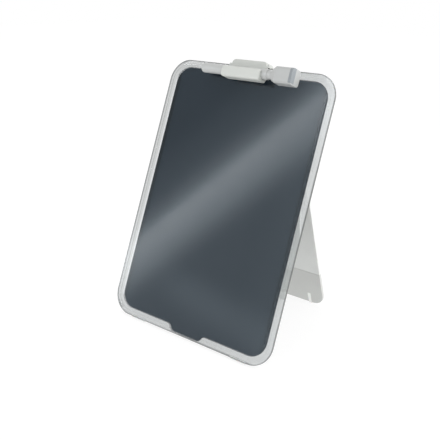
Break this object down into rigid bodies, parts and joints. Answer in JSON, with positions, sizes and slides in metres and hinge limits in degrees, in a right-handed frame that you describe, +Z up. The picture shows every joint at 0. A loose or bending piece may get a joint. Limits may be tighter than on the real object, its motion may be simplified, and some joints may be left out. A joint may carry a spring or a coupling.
{
  "type": "desk whiteboard easel",
  "caption": "Dark glass magnetic desk board in a clear moulded frame, held upright by a fold-out back leg, with a sprung clip on its top edge that carries a capped marker.",
  "frame": {"origin": "middle of the whole part's footprint, on the surface it stands on", "axes": "+Z up, -Y the way the glass faces, +X to the reader's right, towards the marker's cap"},
  "size_m": [0.216, 0.1652, 0.2848],
  "materials": {
    "clear_plastic": "clear, polished",
    "pane_glass": "polished",
    "dark_enamel": "smooth",
    "sheet_steel": "plain sheet",
    "clear_silicone": "clear, soft",
    "foam_tape": "foam",
    "hinge_steel": "satin",
    "screw_steel": "satin",
    "spring_steel": "bright wire",
    "clear_rubber": "soft, translucent",
    "foot_rubber": "soft",
    "leg_plastic": "fine satin",
    "boot_plastic": "fine satin",
    "clip_plastic": "fine satin",
    "pen_plastic": "fine satin",
    "cap_plastic": "fine satin",
    "holder_plastic": "satin",
    "ink_fibre": "fibre core",
    "nib_fibre": "dense felt",
    "felt": "dense felt"
  },
  "bodies": {
    "board": {"clear_frame": "clear_plastic", "glass_panel": "pane_glass", "glass_seal": "clear_silicone", "dark_enamel": "dark_enamel", "steel_sheet": "sheet_steel", "foam_tape_bottom": "foam_tape", "foam_tape_top": "foam_tape", "foam_tape_left": "foam_tape", "foam_tape_right": "foam_tape", "hinge_leaf_left": "hinge_steel", "hinge_leaf_right": "hinge_steel", "hinge_pin_left": "hinge_steel", "hinge_pin_right": "hinge_steel", "hinge_screws": "screw_steel", "board_foot_left": "clear_rubber", "board_foot_right": "clear_rubber", "clip_saddle": "clip_plastic", "saddle_screws": "screw_steel", "clip_pin": "hinge_steel"},
    "stand": {"stand_plate": "leg_plastic", "foot_boot": "boot_plastic", "leg_foot_left": "foot_rubber", "leg_foot_right": "foot_rubber"},
    "clip": {"clip_jaw": "clip_plastic", "clip_pad": "foot_rubber", "clip_spring": "spring_steel"},
    "pen": {"pen_barrel": "pen_plastic", "pen_end_plug": "pen_plastic", "ink_reservoir": "ink_fibre", "nib_holder": "holder_plastic", "pen_nib": "nib_fibre"},
    "cap": {"pen_cap": "cap_plastic", "cap_sleeve": "holder_plastic", "cap_felt": "felt"}
  },
  "joints": [
    {"name": "stand_fold", "type": "hinge", "parent": "board", "child": "stand", "pos_m": [0, 0.01239, 0.21048], "axis": [-1, 0, 0], "range_deg": [0, 40]},
    {"name": "clip_open", "type": "hinge", "parent": "board", "child": "clip", "pos_m": [0, 0.02853, 0.28086], "axis": [-1, 0, 0], "range_deg": [0, 22], "stiffness_Nm_per_rad": 0.1, "springref_deg": -22.92, "deforming": ["clip_spring"]},
    {"name": "pen_slide", "type": "slide", "parent": "clip", "child": "pen", "axis": [1, 0, 0], "range_m": [0, 0.085]},
    {"name": "cap_pull", "type": "slide", "parent": "pen", "child": "cap", "axis": [1, 0, 0], "range_m": [0, 0.03]}
  ]
}
